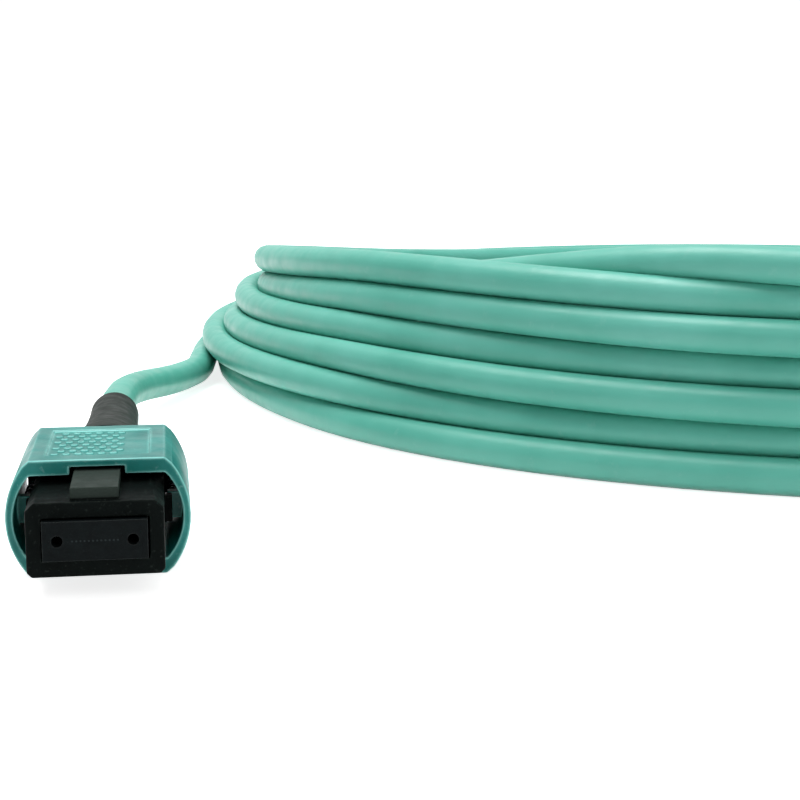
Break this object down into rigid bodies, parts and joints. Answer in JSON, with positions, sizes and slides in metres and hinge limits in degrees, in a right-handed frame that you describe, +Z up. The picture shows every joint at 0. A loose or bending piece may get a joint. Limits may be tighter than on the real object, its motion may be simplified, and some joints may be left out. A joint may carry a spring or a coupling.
{
  "type": "multi-fibre push-on connector on a patch lead",
  "caption": "Keyed rectangular multi-fibre push-on connector with a sliding coupling sleeve, ferrule with guide-pin holes, strain-relief boot and a coiled cable.",
  "frame": {"origin": "bottom centre of the near connector (without its cable), on the surface it stands on", "axes": "+Y from the mating face to the boot, +Z up (key upwards), +X to the right for someone who looks at the mating face"},
  "size_m": [0.1718, 0.1574, 0.022],
  "materials": {
    "ferrule_polymer": "fine matte, filled PPS",
    "fibre_ribbon": "smooth ribbon matrix",
    "soft_boot": "soft matte",
    "clamp_polymer": "matte",
    "spring_steel": "drawn wire",
    "housing_black": "moulded satin",
    "aramid_yarn": "yellow aramid",
    "crimp_metal": "nickel plated",
    "sleeve_aqua": "moulded satin",
    "boot_grey": "soft matte",
    "jacket_aqua": "satin LSZH jacket"
  },
  "bodies": {
    "housing": {"inner_housing": "housing_black", "rear_body": "housing_black", "yarn_sleeve": "aramid_yarn", "crimp_ring": "crimp_metal", "strain_boot": "boot_grey", "cable_lead": "jacket_aqua", "ferrule_spring": "spring_steel", "coupling_spring_left": "spring_steel", "coupling_spring_right": "spring_steel", "far_inner_housing": "housing_black", "far_rear_body": "housing_black", "far_yarn_sleeve": "aramid_yarn", "far_crimp_ring": "crimp_metal", "far_strain_boot": "boot_grey", "far_cable_lead": "jacket_aqua", "far_ferrule_spring": "spring_steel", "far_coupling_spring_left": "spring_steel", "far_coupling_spring_right": "spring_steel", "cable_tail": "jacket_aqua", "cable_coil": "jacket_aqua", "far_cable_tail": "jacket_aqua"},
    "coupling": {"coupling_sleeve": "sleeve_aqua"},
    "ferrule_set": {"ferrule": "ferrule_polymer", "ferrule_boot": "soft_boot", "pin_clamp": "clamp_polymer", "fibre_ribbon": "fibre_ribbon"},
    "far_coupling": {"far_coupling_sleeve": "sleeve_aqua"},
    "far_ferrule_set": {"far_ferrule": "ferrule_polymer", "far_ferrule_boot": "soft_boot", "far_pin_clamp": "clamp_polymer", "far_fibre_ribbon": "fibre_ribbon"}
  },
  "joints": [
    {"name": "coupling_slide", "type": "slide", "parent": "housing", "child": "coupling", "axis": [0, 1, 0], "range_m": [0, 0.002], "stiffness_N_per_m": 600, "deforming": ["coupling_spring_left", "coupling_spring_right"]},
    {"name": "ferrule_slide", "type": "slide", "parent": "housing", "child": "ferrule_set", "axis": [0, 1, 0], "range_m": [0, 0.0008], "stiffness_N_per_m": 2500, "deforming": ["ferrule_spring"]},
    {"name": "far_coupling_slide", "type": "slide", "parent": "housing", "child": "far_coupling", "axis": [0, 1, 0], "range_m": [0, 0.002], "stiffness_N_per_m": 600, "deforming": ["far_coupling_spring_left", "far_coupling_spring_right"]},
    {"name": "far_ferrule_slide", "type": "slide", "parent": "housing", "child": "far_ferrule_set", "axis": [0, 1, 0], "range_m": [0, 0.0008], "stiffness_N_per_m": 2500, "deforming": ["far_ferrule_spring"]}
  ]
}
